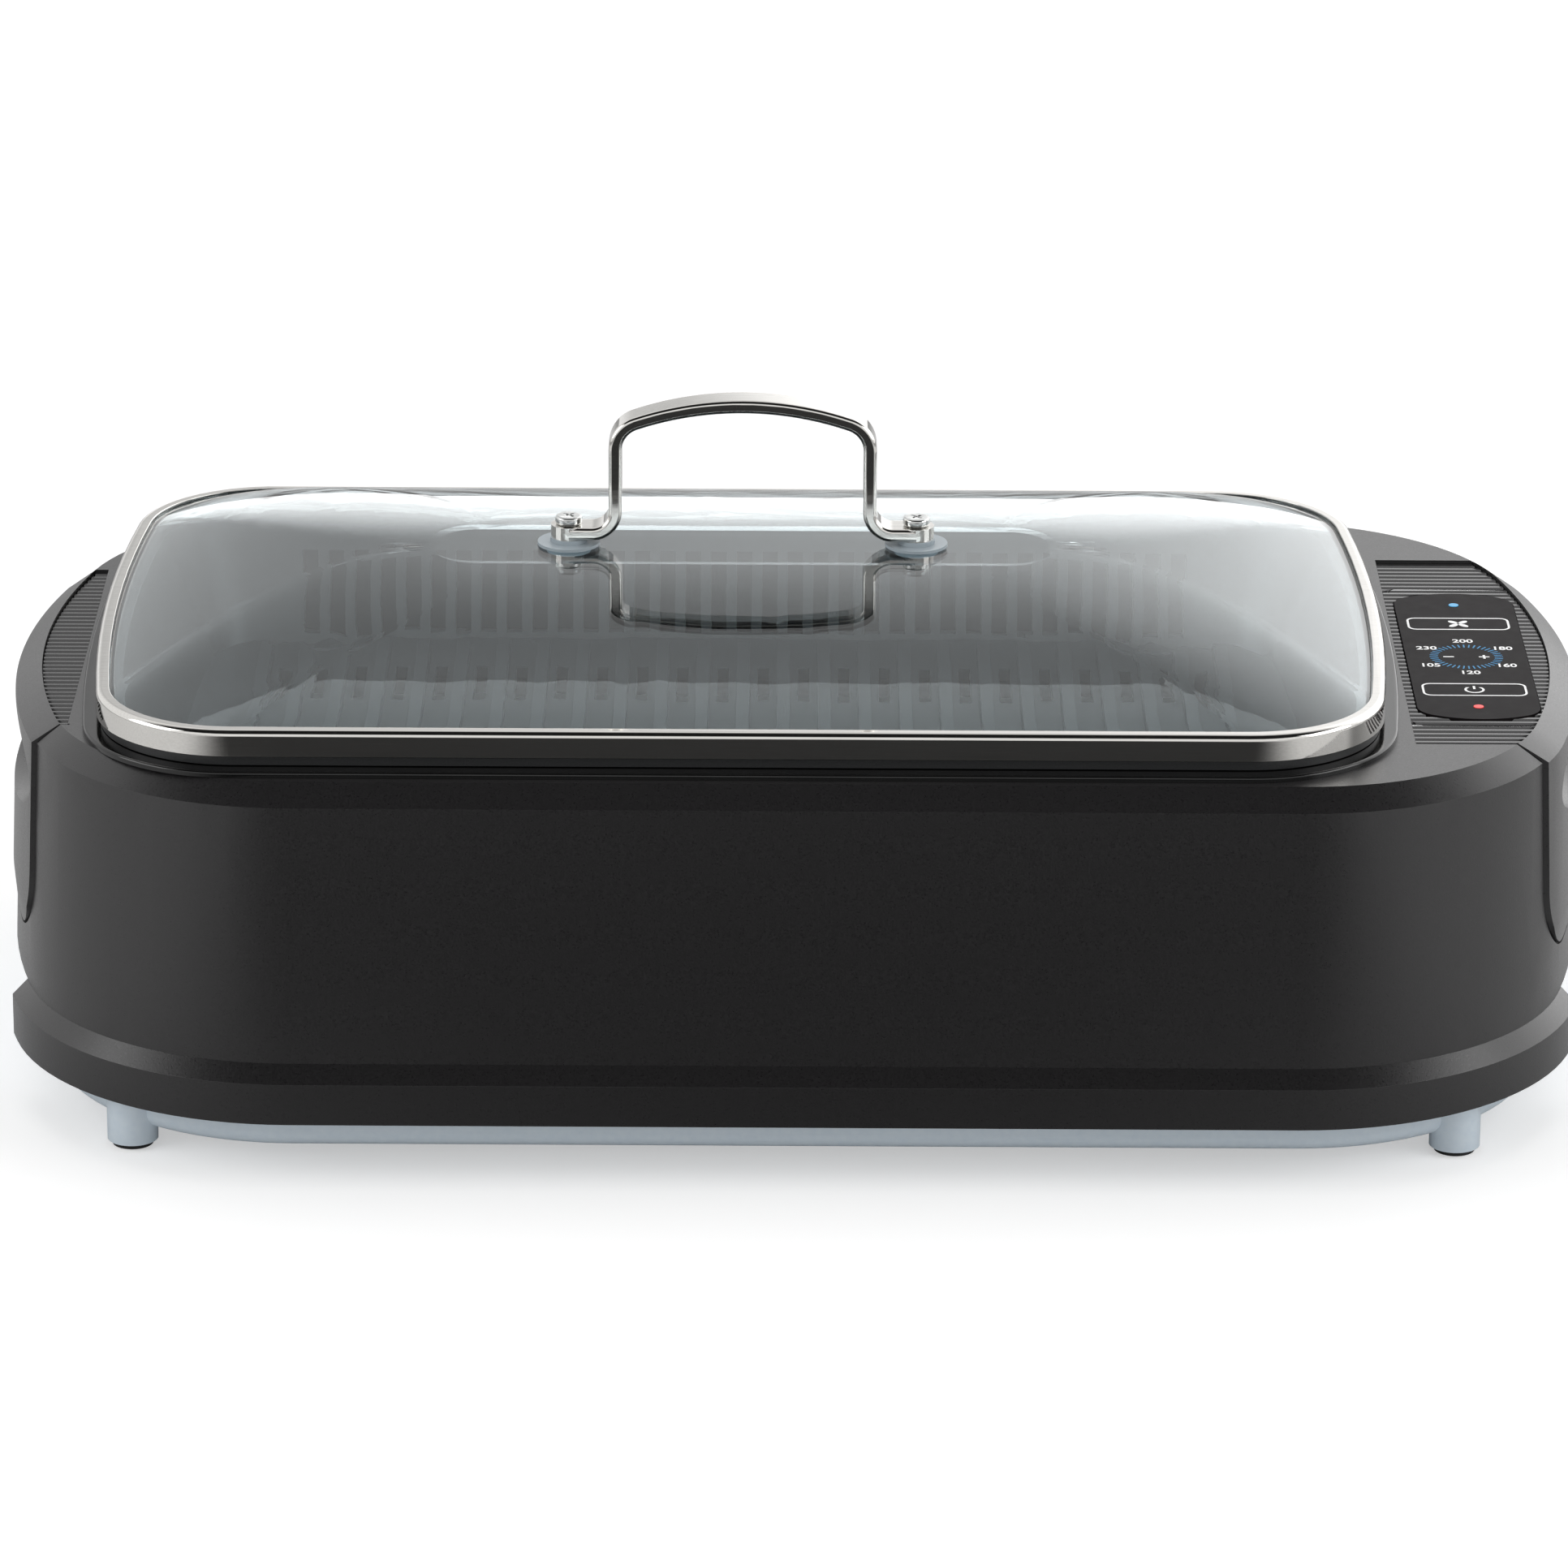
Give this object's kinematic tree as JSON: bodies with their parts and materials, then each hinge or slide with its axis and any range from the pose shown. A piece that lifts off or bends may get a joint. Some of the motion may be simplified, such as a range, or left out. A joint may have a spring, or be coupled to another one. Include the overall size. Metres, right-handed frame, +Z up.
{
  "type": "smokeless grill",
  "caption": "Countertop electric grill with a lift-off domed glass lid, ribbed cooking plate over a plug-in element and drip tray, smoke fan and flush touch panel.",
  "frame": {"origin": "centre of the footprint on the table top", "axes": "+X along the grill to the touch panel end, +Y to the back, +Z up"},
  "size_m": [0.5308, 0.307, 0.222],
  "materials": {
    "housing_plastic": "fine matte moulded",
    "ribbed_plastic": "satin moulded ribs",
    "pan_plastic": "smooth satin",
    "foot_rubber": "matte",
    "panel_gloss": "polished",
    "trim_gloss": "polished",
    "blue_lamp": "clear tinted",
    "red_lamp": "clear tinted",
    "board_green": "satin",
    "component_black": "matte",
    "screw_steel": "bright",
    "liner_steel": "satin",
    "tray_aluminium": "satin",
    "element_steel": "heat darkened",
    "socket_ceramic": "matte",
    "fan_plastic": "matte",
    "motor_steel": "satin",
    "plate_coating": "non-stick coated",
    "lid_glass": "clear, lightly grey",
    "lid_steel": "polished",
    "clear_silicone": "translucent"
  },
  "bodies": {
    "base": {"upper_housing": "housing_plastic", "skirt_front": "housing_plastic", "skirt_rear": "housing_plastic", "bottom_pan": "pan_plastic", "foot_pads": "foot_rubber", "left_end_panel": "housing_plastic", "right_end_panel": "housing_plastic", "left_ribbed_inlay": "ribbed_plastic", "right_ribbed_inlay": "ribbed_plastic", "touch_panel": "panel_gloss", "fan_lamp": "blue_lamp", "power_lamp": "red_lamp", "touch_board": "board_green", "power_board": "board_green", "board_components": "component_black", "board_screws": "screw_steel", "well_trim": "trim_gloss", "well_liner": "liner_steel", "liner_screws": "screw_steel", "housing_screws": "screw_steel", "element_socket": "socket_ceramic", "thermal_cutout": "element_steel", "intake_grille": "liner_steel", "fan_housing": "fan_plastic", "fan_motor": "motor_steel", "fan_screws": "screw_steel", "cord_gland": "housing_plastic"},
    "drip_tray": {"drip_tray": "tray_aluminium"},
    "heater": {"heating_element": "element_steel", "element_bars": "liner_steel", "element_clips": "liner_steel", "terminal_head": "socket_ceramic", "terminal_pins": "element_steel"},
    "plate": {"grill_plate": "plate_coating"},
    "lid": {"lid_glass": "lid_glass", "lid_rim": "lid_steel", "lid_handle": "lid_steel", "handle_screws": "screw_steel", "handle_spacers": "clear_silicone", "handle_washers": "clear_silicone", "handle_seals": "clear_silicone", "handle_nuts": "screw_steel"},
    "fan": {"fan_impeller": "fan_plastic", "fan_shaft": "element_steel"}
  },
  "joints": [
    {"name": "tray_lift", "type": "slide", "parent": "base", "child": "drip_tray", "axis": [0, 0, 1], "range_m": [0, 0.12]},
    {"name": "element_lift", "type": "slide", "parent": "drip_tray", "child": "heater", "axis": [0, 0, 1], "range_m": [0, 0.06]},
    {"name": "plate_lift", "type": "slide", "parent": "heater", "child": "plate", "axis": [0, 0, 1], "range_m": [0, 0.06]},
    {"name": "lid_lift", "type": "slide", "parent": "plate", "child": "lid", "axis": [0, 0, 1], "range_m": [0, 0.12]},
    {"name": "fan_spin", "type": "hinge", "parent": "base", "child": "fan", "pos_m": [0.209, 0.048, 0.084], "axis": [1, 0, 0], "continuous": true}
  ]
}
